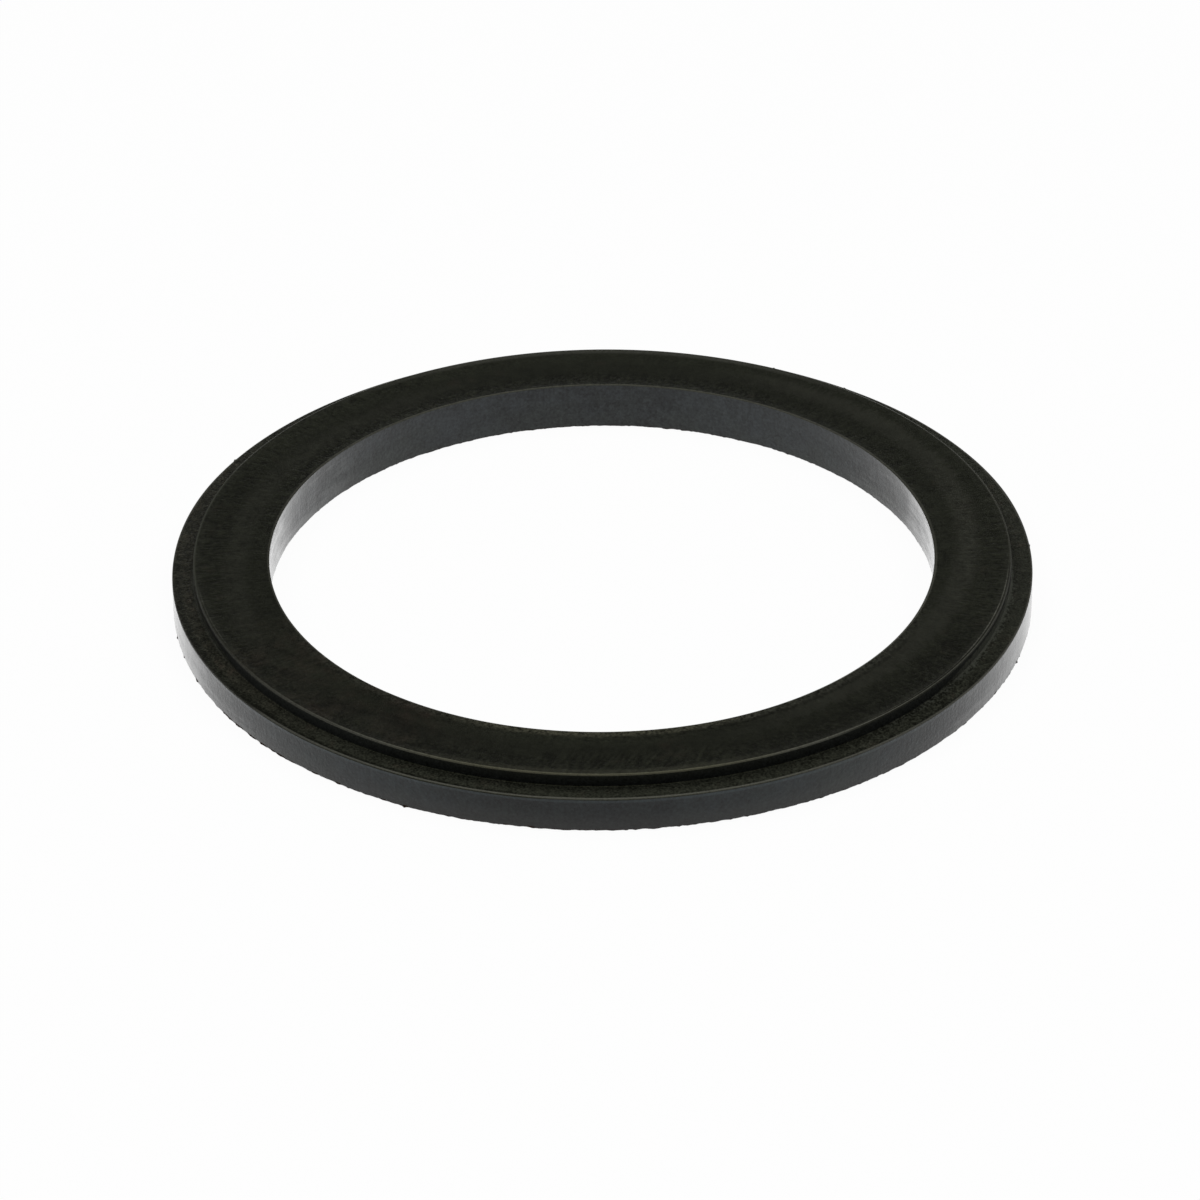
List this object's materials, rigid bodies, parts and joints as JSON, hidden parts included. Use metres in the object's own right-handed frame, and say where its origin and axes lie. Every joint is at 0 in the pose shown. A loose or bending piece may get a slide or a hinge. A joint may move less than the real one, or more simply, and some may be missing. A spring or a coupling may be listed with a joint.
{
  "type": "stepped seal ring",
  "caption": "Flat moulded rubber seal ring of stepped section: a raised land on top and a narrow ledge round the rim, to seal a round port under a retaining lip.",
  "frame": {"origin": "centre of the ring at the level of its flat base", "axes": "+Z along the ring's axis, from the flat base towards the raised land; X and Y lie in the base, and the ring is the same all round"},
  "size_m": [0.071, 0.071, 0.0041],
  "materials": {
    "rubber": "matt black moulded rubber with a faint satin sheen and fine radial tool marks"
  },
  "bodies": {
    "root": {"seal_ring": "rubber"}
  },
  "joints": []
}
